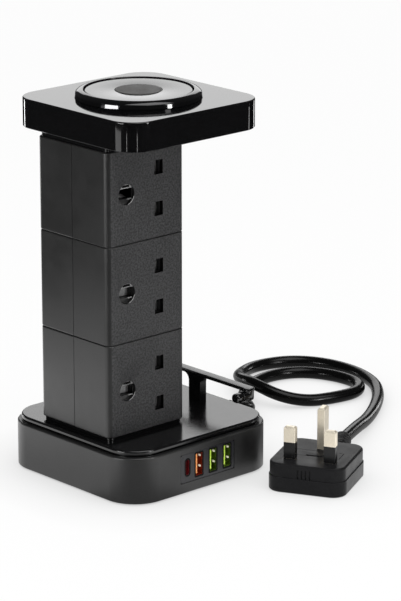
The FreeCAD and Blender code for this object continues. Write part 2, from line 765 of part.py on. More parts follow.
def rest_bar():
    """Flat bar along Y whose ends turn down and reach back to the column."""
    half = rest_length / 2.0
    x0 = rest_x - rest_bar_wide / 2.0
    x1 = rest_x + rest_bar_wide / 2.0
    parts = [box(x0, x1, rest_y - half + 1.0, rest_y + half - 1.0, bar_z0, rest_top_z)]
    for side in (-1, 1):
        outer = rest_y + side * half
        inner = outer - side * rest_arm_wide
        arm = box(x1 - rest_bar_wide - rest_arm_reach, x1, min(outer, inner), max(outer, inner),
                  rest_top_z - rest_arm_drop, rest_top_z)
        rolled = [e for e in arm.Edges if abs(e.BoundBox.YMin - outer) < 0.01 and abs(e.BoundBox.YMax - outer) < 0.01
                  and e.BoundBox.XLength > 1.0]
        parts.append(arm.makeFillet(rest_arm_wide * 0.45, rolled))
    return fused(parts)


nodes["rest_post"] = rest_post()
nodes["rest_bar"] = rest_bar()

# Cord outlet: a flanged strain relief through the skirt, ringed and tapered outside
outlet_h = base_wall + relief_inside
outlet = [(0.0, -outlet_h), (relief_r0, -outlet_h), (relief_r0, -base_wall - relief_flange_t),
          (relief_flange_r, -base_wall - relief_flange_t), (relief_flange_r, -base_wall), (relief_r0, -base_wall)]
outside = ringed_cone(relief_r0, relief_r1, relief_l, relief_first_ring, relief_rings, relief_ring_pitch,
                      relief_ring_wide, relief_ring_rise)
strain_relief = turned(outlet + outside + [(0.0, relief_l)])
strain_relief.rotate(Vec(0, 0, 0), Vec(0, 1, 0), 90.0)
strain_relief.translate(Vec(half_base, cord_exit_y, cord_exit_z))
nodes["cord_strain_relief"] = strain_relief


def cord_tube(route, diameter):
    """Round tube along straight runs joined by arcs, each as large as its two runs allow."""
    p = route
    edges = []
    radii = []
    start = p[0]
    length = 0.0
    for i in range(1, len(p) - 1):
        before = p[i] - p[i - 1]
        after = p[i + 1] - p[i]
        turn = before.getAngle(after)
        shorter = min(before.Length, after.Length)
        setback = 0.45 * shorter
        radius = setback / math.tan(turn / 2.0)
        radii.append(radius)
        u = Vec(before).normalize()
        v = Vec(after).normalize()
        a = p[i] - u * setback
        b = p[i] + v * setback
        inward = (v - u).normalize()
        middle = p[i] + inward * (radius / math.cos(turn / 2.0) - radius)
        edges.append(Part.LineSegment(start, a).toShape())
        edges.append(Part.Arc(a, middle, b).toShape())
        length += (a - start).Length + radius * turn
        start = b
    edges.append(Part.LineSegment(start, p[-1]).toShape())
    length += (p[-1] - start).Length
    path = Part.Wire(edges)
    section = Part.Wire(Part.makeCircle(diameter / 2.0, p[0], p[1] - p[0]))
    tube = path.makePipeShell([section], True, False)
    area = math.pi * diameter * diameter / 4.0
    print("cord radii", " ".join("%.0f" % r for r in radii), "length %.1f" % length,
          "volume ratio %.4f" % (tube.Volume / (area * length)), "valid", tube.isValid())
    return tube


# Plug: two halves, three pins, two sleeves, the fuse and its carrier, and the ribbed cord end
plug_place = FreeCAD.Placement(Vec(plug_x, plug_y, plug_h), FreeCAD.Rotation(Vec(0, 0, 1), plug_turn))
plug_middle = (plug_rear - plug_front) / 2.0
plug_deep = plug_rear + plug_front


def plug_half(inset, z0, z1, rounded_z):
    half = rounded_block(plug_wide - 2.0 * inset, plug_deep - 2.0 * inset, plug_corner - inset, z0, z1,
                         0.0, plug_middle)
    return half.makeFillet(plug_edge_r, edges_at(half, rounded_z))


def pin(wide, thick, length, y):
    """Pin with its free end bevelled all round."""
    body = box(-wide / 2.0, wide / 2.0, y - thick / 2.0, y + thick / 2.0, -pin_root, length)
    return body.makeChamfer(pin_bevel, edges_at(body, length))


def moved(shape, x, y):
    shape.translate(Vec(x, y, 0))
    return shape


split_z = -plug_h + plug_split
cover_half = plug_half(plug_step, split_z, 0.0, 0.0)
base_half = plug_half(0.0, -plug_h, split_z, -plug_h)
carrier_hole = box(-carrier_wide / 2.0 - carrier_gap, carrier_wide / 2.0 + carrier_gap,
                   carrier_y - carrier_deep / 2.0 - carrier_gap, carrier_y + carrier_deep / 2.0 + carrier_gap,
                   -carrier_h - carrier_gap, 0.0)
cover_half = cover_half.cut(carrier_hole)
base_half = base_half.cut(carrier_hole)
line_pins = []
sleeves = []
for side in (-1, 1):
    metal = pin(line_pin_wide, line_pin_thick, line_pin_l, 0.0)
    waist = box(-line_pin_wide / 2.0 + sleeve_t, line_pin_wide / 2.0 - sleeve_t, -line_pin_thick / 2.0 + sleeve_t,
                line_pin_thick / 2.0 - sleeve_t, 0.0, sleeve_l)
    sleeve = box(-line_pin_wide / 2.0, line_pin_wide / 2.0, -line_pin_thick / 2.0, line_pin_thick / 2.0,
                 0.0, sleeve_l)
    metal = metal.cut(sleeve.cut(waist))
    sleeve = sleeve.cut(waist)
    line_pins.append(moved(metal, side * pin_pitch / 2.0, 0.0))
    sleeves.append(moved(sleeve, side * pin_pitch / 2.0, 0.0))
earth_pin = pin(line_pin_thick, earth_pin_wide, earth_pin_l, pin_pitch)
for metal in line_pins + [earth_pin]:
    cover_half = cover_half.cut(metal)
for k in range(grip_ribs):
    x = grip_start + k * grip_pitch
    groove = box(x, x + grip_wide, -plug_front, -plug_front + plug_step + grip_deep, -grip_bottom, -grip_top)
    cover_half = cover_half.cut(groove)
carrier = box(-carrier_wide / 2.0, carrier_wide / 2.0, carrier_y - carrier_deep / 2.0, carrier_y + carrier_deep / 2.0,
              -carrier_h, 0.0)
notch = box(-carrier_notch_wide / 2.0, carrier_notch_wide / 2.0, carrier_y - carrier_deep / 2.0,
            carrier_y - carrier_deep / 2.0 + carrier_notch_deep, -carrier_notch_h, 0.0)
fuse_z = -carrier_h + fuse_r + carrier_floor
fuse = Part.makeCylinder(fuse_r, fuse_l, Vec(-fuse_l / 2.0, carrier_y, fuse_z), Vec(1, 0, 0))
carrier = carrier.cut(notch).cut(fuse)

# The cord end of the plug: a grooved block, then a ringed cone
middle_z = -plug_h / 2.0
cone_y = plug_rear + relief_block_l
block_half = relief_block_tall / 2.0
block = rounded_block(relief_block_wide, relief_block_l, relief_block_corner, middle_z - block_half,
                      middle_z + block_half, 0.0, plug_rear + relief_block_l / 2.0)
core = box(-relief_block_wide / 2.0 + block_groove_deep, relief_block_wide / 2.0 - block_groove_deep, plug_rear,
           cone_y, middle_z - block_half + block_groove_deep, middle_z + block_half - block_groove_deep)
for k in range(block_grooves):
    y = plug_rear + block_groove_first + k * block_groove_pitch
    groove = box(-relief_block_wide / 2.0, relief_block_wide / 2.0, y, y + block_groove_wide,
                 middle_z - block_half, middle_z + block_half)
    block = block.cut(groove.cut(core))
plug_cone = turned([(0.0, 0.0)] + ringed_cone(plug_cone_r, relief_r1, plug_cone_l, plug_ring_first, plug_rings,
                                              plug_ring_pitch, plug_ring_wide, plug_ring_rise) + [(0.0, plug_cone_l)])
plug_cone.rotate(Vec(0, 0, 0), Vec(1, 0, 0), -90.0)
plug_cone.translate(Vec(0, cone_y, middle_z))
plug_relief = fused([block, plug_cone])

plug_nodes = {
    "plug_cover": cover_half,
    "plug_back": base_half,
    "plug_line_pins": Part.makeCompound(line_pins),
    "plug_pin_sleeves": Part.makeCompound(sleeves),
    "plug_earth_pin": earth_pin,
    "fuse_carrier": carrier,
    "fuse": fuse,
    "plug_strain_relief": plug_relief,
}
for name, shape in plug_nodes.items():
    shape.Placement = plug_place.multiply(shape.Placement)
    nodes[name] = shape

# Cord from the base's strain relief to the plug's
cord_end = plug_place.multVec(Vec(0, cone_y + plug_cone_l, middle_z))
nodes["cord"] = cord_tube([cord_start] + [Vec(*place) for place in cord_route] + [cord_end], cord_d)

os.makedirs("parts", exist_ok=True)
for name, shape in nodes.items():
    shape.exportStep("parts/" + name + ".step")
    if not shape.isValid() or not shape.Solids:
        print("check", name, shape.isValid(), len(shape.Solids))
print(len(nodes), "nodes")
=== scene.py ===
"""Finishes, small details, cord, light and camera for the tower power strip. Metres, in the frame of the model."""
import json
import math

import bmesh
import bpy
from mathutils import Matrix, Vector


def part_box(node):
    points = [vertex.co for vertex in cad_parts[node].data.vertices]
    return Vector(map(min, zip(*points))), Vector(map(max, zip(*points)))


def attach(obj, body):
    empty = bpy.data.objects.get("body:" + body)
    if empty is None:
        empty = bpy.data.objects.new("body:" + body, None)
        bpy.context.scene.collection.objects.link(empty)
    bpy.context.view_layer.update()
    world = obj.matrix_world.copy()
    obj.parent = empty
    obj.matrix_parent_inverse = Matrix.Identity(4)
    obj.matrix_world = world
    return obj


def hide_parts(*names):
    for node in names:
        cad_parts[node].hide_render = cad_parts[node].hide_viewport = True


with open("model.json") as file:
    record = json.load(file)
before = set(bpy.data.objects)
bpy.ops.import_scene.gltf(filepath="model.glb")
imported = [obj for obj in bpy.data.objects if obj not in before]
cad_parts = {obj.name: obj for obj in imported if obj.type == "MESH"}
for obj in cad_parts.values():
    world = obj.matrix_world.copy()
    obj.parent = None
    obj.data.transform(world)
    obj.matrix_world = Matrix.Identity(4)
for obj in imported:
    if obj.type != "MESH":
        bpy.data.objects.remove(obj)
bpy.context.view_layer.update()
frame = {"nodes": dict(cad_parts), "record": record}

MM = 0.001
SOCKETS = (1, 2, 3)
SMOOTH_ANGLE = 30.0

# Camera: the photograph's angle and its long lens
VIEW_AZIMUTH = -42.66
VIEW_ELEVATION = 16.43
VIEW_DISTANCE = 1.64426
VIEW_RIGHT = 0.03238
VIEW_UP = -0.00739
AIM_HEIGHT = 0.100
LENS = 184.84
SENSOR = 36.0

# Cord, in millimetres: the model's own route, its points moved to where the photograph shows the strands
CORD_D = 7.0
CORD_ROUTE = (
    (78.5, 12.0, 11.5), (91.5, 12.5, 8.6), (101.5, 21.0, 4.2), (108.5, 33.5, 3.5), (120.5, 46.0, 3.5),
    (138.0, 55.5, 3.5), (157.0, 57.0, 3.5), (172.5, 49.0, 3.5), (181.0, 31.0, 3.5), (180.5, 11.0, 3.5),
    (168.0, 0.5, 3.5), (150.5, 2.5, 3.5), (134.5, 8.5, 3.5), (122.0, 19.0, 7.0), (118.0, 36.5, 11.8),
    (124.5, 55.0, 9.2), (139.5, 69.3, 4.8), (158.5, 77.2, 3.5), (180.0, 71.2, 3.5), (192.5, 54.5, 3.5),
    (195.5, 31.0, 3.5), (188.5, 7.0, 3.5), (173.5, -11.0, 3.5), (155.0, -26.0, 3.5), (135.0, -38.8, 3.9),
    (114.5, -50.0, 6.7), (93.9, -61.4, 8.0),
)


# Node trees
def feed(tree, node, values):
    """Gives a node's inputs plain values, or links them to other nodes' outputs."""
    for label, value in values.items():
        if isinstance(value, bpy.types.NodeSocket):
            tree.links.new(value, node.inputs[label])
        else:
            node.inputs[label].default_value = value


def make(tree, kind, values, **settings):
    """A new node with its settings and inputs."""
    node = tree.nodes.new(kind)
    for name, value in settings.items():
        setattr(node, name, value)
    feed(tree, node, values)
    return node


def maths(tree, operation, *values, clamp=False):
    """The result of a sum on numbers or sockets."""
    return make(tree, "ShaderNodeMath", dict(enumerate(values)), operation=operation, use_clamp=clamp).outputs[0]


def vector_maths(tree, operation, result, *values):
    """The named result of a sum on vectors."""
    return make(tree, "ShaderNodeVectorMath", dict(enumerate(values)), operation=operation).outputs[result]


def mapped(tree, value, low, high, to_low, to_high, kind="LINEAR"):
    """A value carried from one range to another. The ends are numbers or sockets."""
    ends = {"Value": value, "From Min": low, "From Max": high, "To Min": to_low, "To Max": to_high}
    return make(tree, "ShaderNodeMapRange", ends, interpolation_type=kind).outputs["Result"]


def mixed(tree, share, first, second, kind="MIX"):
    """Two colours mixed."""
    values = {0: share, 6: first, 7: second}
    return make(tree, "ShaderNodeMix", values, data_type="RGBA", blend_type=kind).outputs[2]


def noise(tree, scale, detail, rough):
    """Noise that keeps its place on the object."""
    place = tree.nodes.new("ShaderNodeTexCoord").outputs["Object"]
    values = {"Vector": place, "Scale": scale, "Detail": detail, "Roughness": rough}
    return make(tree, "ShaderNodeTexNoise", values).outputs["Fac"]


def new_tree(kind, name, inputs, outputs):
    """An empty tree with its sockets, each given as name, type and, for most inputs, value."""
    tree = bpy.data.node_groups.new(name, kind)
    for label, socket_kind, *value in inputs:
        socket = tree.interface.new_socket(label, in_out="INPUT", socket_type="NodeSocket" + socket_kind)
        if value:
            socket.default_value = value[0]
    for label, socket_kind in outputs:
        tree.interface.new_socket(label, in_out="OUTPUT", socket_type="NodeSocket" + socket_kind)
    return tree, tree.nodes.new("NodeGroupInput").outputs, tree.nodes.new("NodeGroupOutput")


def make_moulded():
    """Moulded plastic: fine grain in relief, slow patches of tone and of gloss."""
    grain_relief = 0.00012
    patch_scale, smear_scale = 38.0, 140.0
    tree, given, out = new_tree("ShaderNodeTree", "moulded surface", [
        ("Tone", "Color", (0.02, 0.02, 0.02, 1.0)), ("Patch tone", "Color", (0.03, 0.03, 0.03, 1.0)),
        ("Grain scale", "Float", 1500.0), ("Grain depth", "Float", 0.1),
        ("Fleck tone", "Color", (0.78, 0.78, 0.8, 1.0)), ("Low roughness", "Float", 0.3),
        ("High roughness", "Float", 0.4)],
        [("Colour", "Color"), ("Roughness", "Float"), ("Normal", "Vector")])
    grain = noise(tree, given["Grain scale"], 2.0, 0.6)
    patches = noise(tree, patch_scale, 4.0, 0.6)
    smears = noise(tree, smear_scale, 2.0, 0.5)
    tone = mixed(tree, mapped(tree, patches, 0.35, 0.7, 0.0, 1.0), given["Tone"], given["Patch tone"])
    flecked = mixed(tree, mapped(tree, grain, 0.40, 0.60, 0.0, 1.0), tone, given["Fleck tone"], "MULTIPLY")
    average = maths(tree, "MULTIPLY_ADD", smears, 0.5, maths(tree, "MULTIPLY", patches, 0.5))
    rough = mapped(tree, average, 0.35, 0.65, given["Low roughness"], given["High roughness"])
    bump = make(tree, "ShaderNodeBump", {
        "Distance": grain_relief, "Strength": given["Grain depth"], "Height": grain})
    feed(tree, out, {"Colour": flecked, "Roughness": rough, "Normal": bump.outputs["Normal"]})
    return tree


def make_worn_edges():
    """Edges rubbed a little paler, here more and there less."""
    edge_width = 0.0006
    tree, given, out = new_tree("ShaderNodeTree", "worn edges", [
        ("Colour", "Color", (0.02, 0.02, 0.02, 1.0)), ("Worn tone", "Color", (0.1, 0.1, 0.1, 1.0)),
        ("Amount", "Float", 0.5)], [("Colour", "Color")])
    eased = make(tree, "ShaderNodeBevel", {"Radius": edge_width}, samples=4)
    plain = tree.nodes.new("ShaderNodeNewGeometry")
    turned = vector_maths(tree, "DOT_PRODUCT", "Value", eased.outputs["Normal"], plain.outputs["Normal"])
    edge = mapped(tree, turned, 0.985, 0.86, 0.0, 1.0)
    broken = maths(tree, "MULTIPLY", edge, noise(tree, 420.0, 3.0, 0.6))
    share = maths(tree, "MULTIPLY", broken, given["Amount"], clamp=True)
    feed(tree, out, {"Colour": mixed(tree, share, given["Colour"], given["Worn tone"])})
    return tree


MOULDED = make_moulded()
WORN = make_worn_edges()


def linear(colour):
    """A colour as read off a screen, 0 to 255, made linear."""
    shares = [c / 255.0 for c in colour]
    return tuple(c / 12.92 if c <= 0.04045 else ((c + 0.055) / 1.055) ** 2.4 for c in shares) + (1.0,)


def plastic(name, tone, patch, grain_scale, grain_depth, low, high, worn=0.25, specular=0.5, metallic=0.0,
            fleck=0.8, glow=0.0):
    """A moulded or plated finish: the shared groups feed one Principled shader. Low and high are its roughness."""
    material = bpy.data.materials.new(name)
    material.use_nodes = True
    tree = material.node_tree
    tone = linear(tone)
    worn_tone = tuple(min(1.0, 3.0 * c + 0.02) for c in tone[:3]) + (1.0,)
    moulded = make(tree, "ShaderNodeGroup", {
        "Tone": tone, "Patch tone": linear(patch), "Grain scale": grain_scale, "Grain depth": grain_depth,
        "Fleck tone": (fleck, fleck, fleck, 1.0), "Low roughness": low, "High roughness": high}, node_tree=MOULDED)
    edges = make(tree, "ShaderNodeGroup", {
        "Colour": moulded.outputs["Colour"], "Worn tone": worn_tone, "Amount": worn}, node_tree=WORN)
    # Glow makes a finish give light in its own tone, though it is no lamp: painted light, used inside the ports and
    # on the spring leaves.
    feed(tree, tree.nodes["Principled BSDF"], {
        "Base Color": edges.outputs["Colour"], "Roughness": moulded.outputs["Roughness"],
        "Normal": moulded.outputs["Normal"], "Metallic": metallic, "Specular IOR Level": specular,
        "Emission Color": tone, "Emission Strength": glow})
    return material


FINISH = {
    "body_satin": plastic("satin black housing", (30, 30, 30), (34, 34, 34), 2600.0, 0.12, 0.32, 0.40),
    "socket_face": plastic("grained charcoal face", (55, 55, 56), (63, 63, 64), 980.0, 1.0, 0.44, 0.58,
                           specular=0.36, fleck=0.34),
    "cover_satin": plastic("smooth black cover", (9, 9, 10), (12, 12, 13), 2400.0, 0.05, 0.14, 0.19),
    "rest_satin": plastic("brushed black rest", (16, 16, 17), (20, 20, 21), 1500.0, 0.12, 0.20, 0.28),
    "top_gloss": plastic("piano black", (9, 9, 10), (11, 11, 12), 900.0, 0.008, 0.05, 0.075, worn=0.05),
    "pad_gloss": plastic("piano black pad", (12, 12, 13), (14, 14, 15), 900.0, 0.012, 0.07, 0.11, worn=0.05),
    "pad_centre": plastic("matte pad centre", (66, 65, 63), (80, 78, 76), 1100.0, 0.5, 0.5, 0.62, fleck=0.6),
    "panel_black": plastic("black port panel", (28, 28, 32), (32, 32, 36), 2000.0, 0.1, 0.34, 0.42),
    "rubber": plastic("black rubber", (20, 20, 20), (26, 26, 26), 1500.0, 0.3, 0.42, 0.55, specular=0.35),
    "port_steel": plastic("dark plated steel", (12, 11, 10), (16, 15, 13), 900.0, 0.1, 0.4, 0.5, worn=0.0,
                          specular=0.3),
    "tongue_orange": plastic("orange tongue", (255, 158, 84), (255, 172, 104), 800.0, 0.05, 0.3, 0.4, worn=0.0),
    "tongue_green": plastic("green tongue", (196, 232, 74), (206, 240, 96), 800.0, 0.05, 0.3, 0.4, worn=0.0),
    "tongue_red": plastic("dark red tongue", (112, 30, 30), (130, 40, 40), 800.0, 0.05, 0.3, 0.4),
    # The port insides: the liner's own colour, with a little glow as painted light falling into the mouths.
    "mouth_orange": plastic("inside of the orange port", (132, 36, 14), (104, 26, 10), 500.0, 0.05, 0.3, 0.4,
                            worn=0.0, glow=0.07, fleck=0.5),
    "mouth_green": plastic("inside of the green ports", (84, 106, 26), (54, 76, 14), 500.0, 0.05, 0.3, 0.4,
                           worn=0.0, glow=0.03, fleck=0.4),
    "mouth_red": plastic("inside of the small port", (118, 28, 34), (96, 20, 26), 500.0, 0.05, 0.3, 0.4,
                         worn=0.0, glow=0.05, fleck=0.5),
    # Pale grey on the earth lip, sill and rim arc: a painted reflection and painted highlights.
    "lip_grey": plastic("earth lip, pale as a painted reflection", (150, 150, 150), (164, 164, 164), 900.0, 0.1, 0.3, 0.4,
                        worn=0.0),
    "board_green": plastic("circuit board", (24, 84, 48), (30, 96, 56), 700.0, 0.1, 0.35, 0.5),
    "contact_brass": plastic("brass contact strip", (214, 178, 98), (196, 160, 84), 800.0, 0.1, 0.22, 0.34,
                             metallic=1.0),
    "spring_steel": plastic("spring steel", (196, 196, 196), (182, 182, 184), 900.0, 0.1, 0.2, 0.3,
                            metallic=1.0),
    "shutter_black": plastic("grey-black shutter", (130, 130, 130), (140, 140, 140), 1800.0, 0.1, 0.4, 0.5,
                             specular=0.3),
    # Black painted shade, laid where shade falls in gaps and hollows: the shut lines, the slot walls, the rims
    # round the ports and the notch above each earth hole.
    "shut_line": plastic("black painted shade", (4, 4, 4), (6, 6, 6), 1800.0, 0.1, 0.5, 0.6, specular=0.1,
                         worn=0.0),
    # Near white with a glow: a painted highlight on the spring leaves.
    "leaf_bright": plastic("contact leaf, bright as a painted glint", (255, 250, 226), (250, 244, 216), 900.0, 0.05, 0.3, 0.4,
                           worn=0.0, glow=0.2),
    "copper_coil": plastic("enamelled copper", (190, 104, 52), (170, 88, 44), 900.0, 0.1, 0.25, 0.35,
                           metallic=1.0),
    "screw_steel": plastic("plated screws", (170, 170, 174), (150, 150, 154), 900.0, 0.1, 0.25, 0.4,
                           metallic=1.0),
    "cord_black": plastic("glossy black flex", (8, 8, 8), (10, 10, 10), 400.0, 0.0, 0.20, 0.24, worn=0.0,
                          specular=0.2),
    "plug_black": plastic("satin black plug", (28, 28, 29), (34, 34, 35), 1900.0, 0.2, 0.26, 0.36,
                          specular=0.05),
    "sleeve_black": plastic("black pin sleeve", (14, 14, 15), (18, 18, 19), 1500.0, 0.05, 0.26, 0.34,
                            specular=0.35),
    "pin_nickel": plastic("nickel plated pin", (240, 230, 210), (232, 222, 202), 1200.0, 0.02, 0.30, 0.38,
                          worn=0.0, metallic=0.65, fleck=0.95),
    "fuse_body": plastic("ceramic fuse", (214, 208, 196), (196, 190, 178), 900.0, 0.05, 0.3, 0.4),
}
NODE_SLOT = {row["node"]: row["material_slot"] for row in frame["record"]["subparts"]}
NODE_BODY = {node: body for body, nodes in frame["record"]["behaviour"]["bodies"].items() for node in nodes}


# Pieces
def linked(name, data):
    """A new object in the scene."""
    obj = bpy.data.objects.new(name, data)
    bpy.context.scene.collection.objects.link(obj)
    return obj


def smooth(mesh, angle=SMOOTH_ANGLE):
    """Curves shade smooth, and edges past the angle stay sharp."""
    mesh.polygons.foreach_set("use_smooth", [True] * len(mesh.polygons))
    mesh.set_sharp_from_angle(angle=math.radians(angle))


def added(name, bm, angle=SMOOTH_ANGLE):
    """The finished mesh as an object, its curves smooth and its edges sharp."""
    mesh = bpy.data.meshes.new(name)
    bm.to_mesh(mesh)
    bm.free()
    smooth(mesh, angle)
    return linked(name, mesh)


def dress(obj, node):
    """Gives a new piece the finish, body and slot of the model's node that it stands for."""
    obj.data.materials.clear()
    obj.data.materials.append(FINISH[NODE_SLOT[node]])
    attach(obj, NODE_BODY[node])
    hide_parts(node)
    return obj


def painted(obj, finish, test):
    """Gives a further finish to the faces that pass a test of their middle, in millimetres, and normal."""
    obj.data.materials.append(FINISH[finish])
    for polygon in obj.data.polygons:
        if test(polygon.center / MM, polygon.normal):
            polygon.material_index = len(obj.data.materials) - 1


def refined(node, bevel):
    """A merged copy of a node, its curves smooth and its edges eased by so many millimetres."""
    merge_gap, flat_angle, eased_angle = 0.004, 1.0, 28.0
    source = frame["nodes"][node]
    bm = bmesh.new()
    bm.from_mesh(source.data)
    bm.transform(source.matrix_world)
    bmesh.ops.remove_doubles(bm, verts=bm.verts, dist=merge_gap * MM)
    bmesh.ops.dissolve_limit(bm, angle_limit=math.radians(flat_angle), verts=bm.verts, edges=bm.edges,
                             delimit={"NORMAL"})
    obj = added(node + "_piece", bm, eased_angle)
    eased = obj.modifiers.new("eased edges", "BEVEL")
    eased.width = bevel * MM
    eased.segments = 2
    eased.limit_method = "ANGLE"
    eased.angle_limit = math.radians(eased_angle)
    eased.harden_normals = True
    eased.use_clamp_overlap = True
    return dress(obj, node)


def placed(at, degrees=0.0, axis="Z"):
    """The matrix of a place in millimetres and a turn."""
    return Matrix.Translation(Vector(at) * MM) @ Matrix.Rotation(math.radians(degrees), 4, axis)


def skinned(name, bm, rows, closed=False):
    """Faces between rows of points, joined up or with both ends capped. A row of one point is a pole."""
    for low, high in list(zip(rows, rows[1:])) + ([(rows[-1], rows[0])] if closed else []):
        steps = max(len(low), len(high))
        for k in range(steps):
            n = (k + 1) % steps
            if len(low) == 1:
                bm.faces.new((low[0], high[n], high[k]))
            elif len(high) == 1:
                bm.faces.new((low[k], low[n], high[0]))
            else:
                bm.faces.new((low[k], low[n], high[n], high[k]))
    if not closed:
        for end in (list(reversed(rows[0])), rows[-1]):
            if len(end) > 1:
                bm.faces.new(end)
    bmesh.ops.recalc_face_normals(bm, faces=bm.faces)
    return added(name, bm)


def arc(across, z, radius, start, end, steps=6, out=-1.0):
    """Points of a round edge: its centre and two angles, 0 outwards and 90 up. Out is 1 where radii are given."""
    turns = [math.radians(start + (end - start) * k / steps) for k in range(steps + 1)]
    return [(across + out * radius * math.cos(a), z + radius * math.sin(a)) for a in turns]


def swept(name, side, corner, profile, closed=False, steps=24):
    """A rounded square swept through a profile of inset and height, in millimetres, and capped or joined up."""
    bm = bmesh.new()
    rows = []
    flat = side / 2.0 - corner
    for inset, z in profile:
        r = max(corner - inset, 0.05)
        row = []
        for quarter in range(4):
            cx = flat if quarter in (0, 3) else -flat
            cy = flat if quarter in (0, 1) else -flat
            for k in range(steps + 1):
                a = math.radians(90.0 * quarter + 90.0 * k / steps)
                row.append(bm.verts.new(((cx + r * math.cos(a)) * MM, (cy + r * math.sin(a)) * MM, z * MM)))
        rows.append(row)
    return skinned(name, bm, rows, closed)


def lathed(name, profile, steps=144, closed=True):
    """A profile of radius and height, in millimetres, turned about the vertical. Radius 0 makes a pole."""
    bm = bmesh.new()
    turns = [2.0 * math.pi * k / steps for k in range(steps)]
    rows = []
    for r, z in profile:
        row = [(r * math.cos(a) * MM, r * math.sin(a) * MM, z * MM) for a in turns]
        rows.append([bm.verts.new(at) for at in (row if r > 0.0 else row[:1])])
    return skinned(name, bm, rows, closed)


def rounded_row(bm, half_u, half_v, corner, place, axis, centre, steps):
    """One ring of a rounded rectangle that lies across an axis at a place along it."""
    corner = max(min(corner, half_u, half_v) - 0.001, 0.01)
    row = []
    for quarter, (su, sv) in enumerate(((1, 1), (-1, 1), (-1, -1), (1, -1))):
        for k in range(steps + 1):
            turn = math.radians(90.0 * quarter + 90.0 * k / steps)
            u = su * (half_u - corner) + corner * math.cos(turn)
            v = sv * (half_v - corner) + corner * math.sin(turn)
            at = {"x": (place, u, v), "y": (u, place, v), "z": (u, v, place)}[axis]
            row.append(bm.verts.new([(c + p) * MM for c, p in zip(centre, at)]))
    return row


def ringed(name, rings, axis="z", centre=(0.0, 0.0, 0.0), steps=5):
    """Rings of rounded rectangles joined to one closed skin. A ring is two half sizes, a corner and its place."""
    bm = bmesh.new()
    return skinned(name, bm, [rounded_row(bm, *ring, axis, centre, steps) for ring in rings])


def wedge(name, sections):
    """Sections of a few points, in millimetres, joined to one closed skin."""
    bm = bmesh.new()
    return skinned(name, bm, [[bm.verts.new([c * MM for c in at]) for at in section] for section in sections])


def joined(name, *parts):
    """Several pieces as one object."""
    bm = bmesh.new()
    for part in parts:
        bm.from_mesh(part.data)
        bpy.data.objects.remove(part)
    return added(name, bm)


def block_mesh(name, x0, x1, y0, y1, z0, z1):
    """A plain block in millimetres, for cutting."""
    bm = bmesh.new()
    bmesh.ops.create_cube(bm, size=1.0)
    for v in bm.verts:
        v.co = Vector((x0 if v.co.x < 0 else x1, y0 if v.co.y < 0 else y1, z0 if v.co.z < 0 else z1)) * MM
    return added(name, bm)


def baked(obj):
    """The evaluated mesh takes the place of the object's own, and its modifiers go."""
    bpy.context.view_layer.update()
    done = bpy.data.meshes.new_from_object(obj.evaluated_get(bpy.context.evaluated_depsgraph_get()))
    obj.modifiers.clear()
    obj.data = done
    return obj


def cut(obj, *tools, how="DIFFERENCE"):
    """Cuts away the tools, or joins them on, and removes them."""
    for tool in tools:
        change = obj.modifiers.new("cut", "BOOLEAN")
        change.operation = how
        change.solver = "EXACT"
        change.object = tool
    baked(obj)
    for tool in tools:
        bpy.data.objects.remove(tool)
    smooth(obj.data)
    return obj


# Geometry trees for what repeats
def new_row(name, sizes):
    """An empty geometry tree with a mesh in, its named sizes, a material, and a mesh out."""
    return new_tree("GeometryNodeTree", name, [("Piece", "Geometry"), *sizes, ("Finish", "Material")],
                    [("Row", "Geometry")])


def close_tree(tree, given, out, geometry):
    """Every tree ends in real mesh with its finish."""
    real = make(tree, "GeometryNodeRealizeInstances", {0: geometry})
    finish = make(tree, "GeometryNodeSetMaterial", {"Geometry": real.outputs[0], "Material": given["Finish"]})
    feed(tree, out, {"Row": finish.outputs[0]})
    return tree


def make_taper_row():
    """A piece repeated along Z, each copy scaled across from the first size to the last."""
    tree, given, out = new_row("row along a taper", [
        ("Count", "Int", 4), ("First", "Float", 0.001), ("Pitch", "Float", 0.003), ("First size", "Float", 1.0),
        ("Last size", "Float", 1.0)])
    start = make(tree, "ShaderNodeCombineXYZ", {"Z": given["First"]})
    step = make(tree, "ShaderNodeCombineXYZ", {"Z": given["Pitch"]})
    line = make(tree, "GeometryNodeMeshLine", {
        "Count": given["Count"], "Start Location": start.outputs[0], "Offset": step.outputs[0]})
    index = tree.nodes.new("GeometryNodeInputIndex").outputs[0]
    last = maths(tree, "SUBTRACT", given["Count"], 1.0)
    size = mapped(tree, index, 0.0, last, given["First size"], given["Last size"])
    across = make(tree, "ShaderNodeCombineXYZ", {"X": size, "Y": size, "Z": 1.0})
    copies = make(tree, "GeometryNodeInstanceOnPoints", {
        "Points": line.outputs[0], "Instance": given["Piece"], "Scale": across.outputs[0]})
    return close_tree(tree, given, out, copies.outputs[0])


def make_corner_set():
    """A piece repeated at the four corners of a square."""
    tree, given, out = new_row("four corners", [("Spread", "Float", 0.05)])
    grid = make(tree, "GeometryNodeMeshGrid", {
        "Vertices X": 2, "Vertices Y": 2, "Size X": given["Spread"], "Size Y": given["Spread"]})
    copies = make(tree, "GeometryNodeInstanceOnPoints", {"Points": grid.outputs[0], "Instance": given["Piece"]})
    return close_tree(tree, given, out, copies.outputs[0])


def make_wound_coil():
    """Turns of round wire in one flat layer."""
    tree, given, out = new_row("wound coil", [
        ("Turns", "Float", 9.0), ("Inner radius", "Float", 0.0095), ("Outer radius", "Float", 0.0225),
        ("Wire radius", "Float", 0.0006)])
    spiral = make(tree, "GeometryNodeCurveSpiral", {
        "Resolution": 48, "Height": 0.0, "Rotations": given["Turns"], "Start Radius": given["Inner radius"],
        "End Radius": given["Outer radius"]})
    wire = make(tree, "GeometryNodeCurvePrimitiveCircle", {"Resolution": 10, "Radius": given["Wire radius"]})
    tube = make(tree, "GeometryNodeCurveToMesh", {
        "Fill Caps": True, "Curve": spiral.outputs[0], "Profile Curve": wire.outputs[0]})
    return close_tree(tree, given, out, tube.outputs[0])


TAPER_ROW = make_taper_row()
CORNER_SET = make_corner_set()
WOUND_COIL = make_wound_coil()


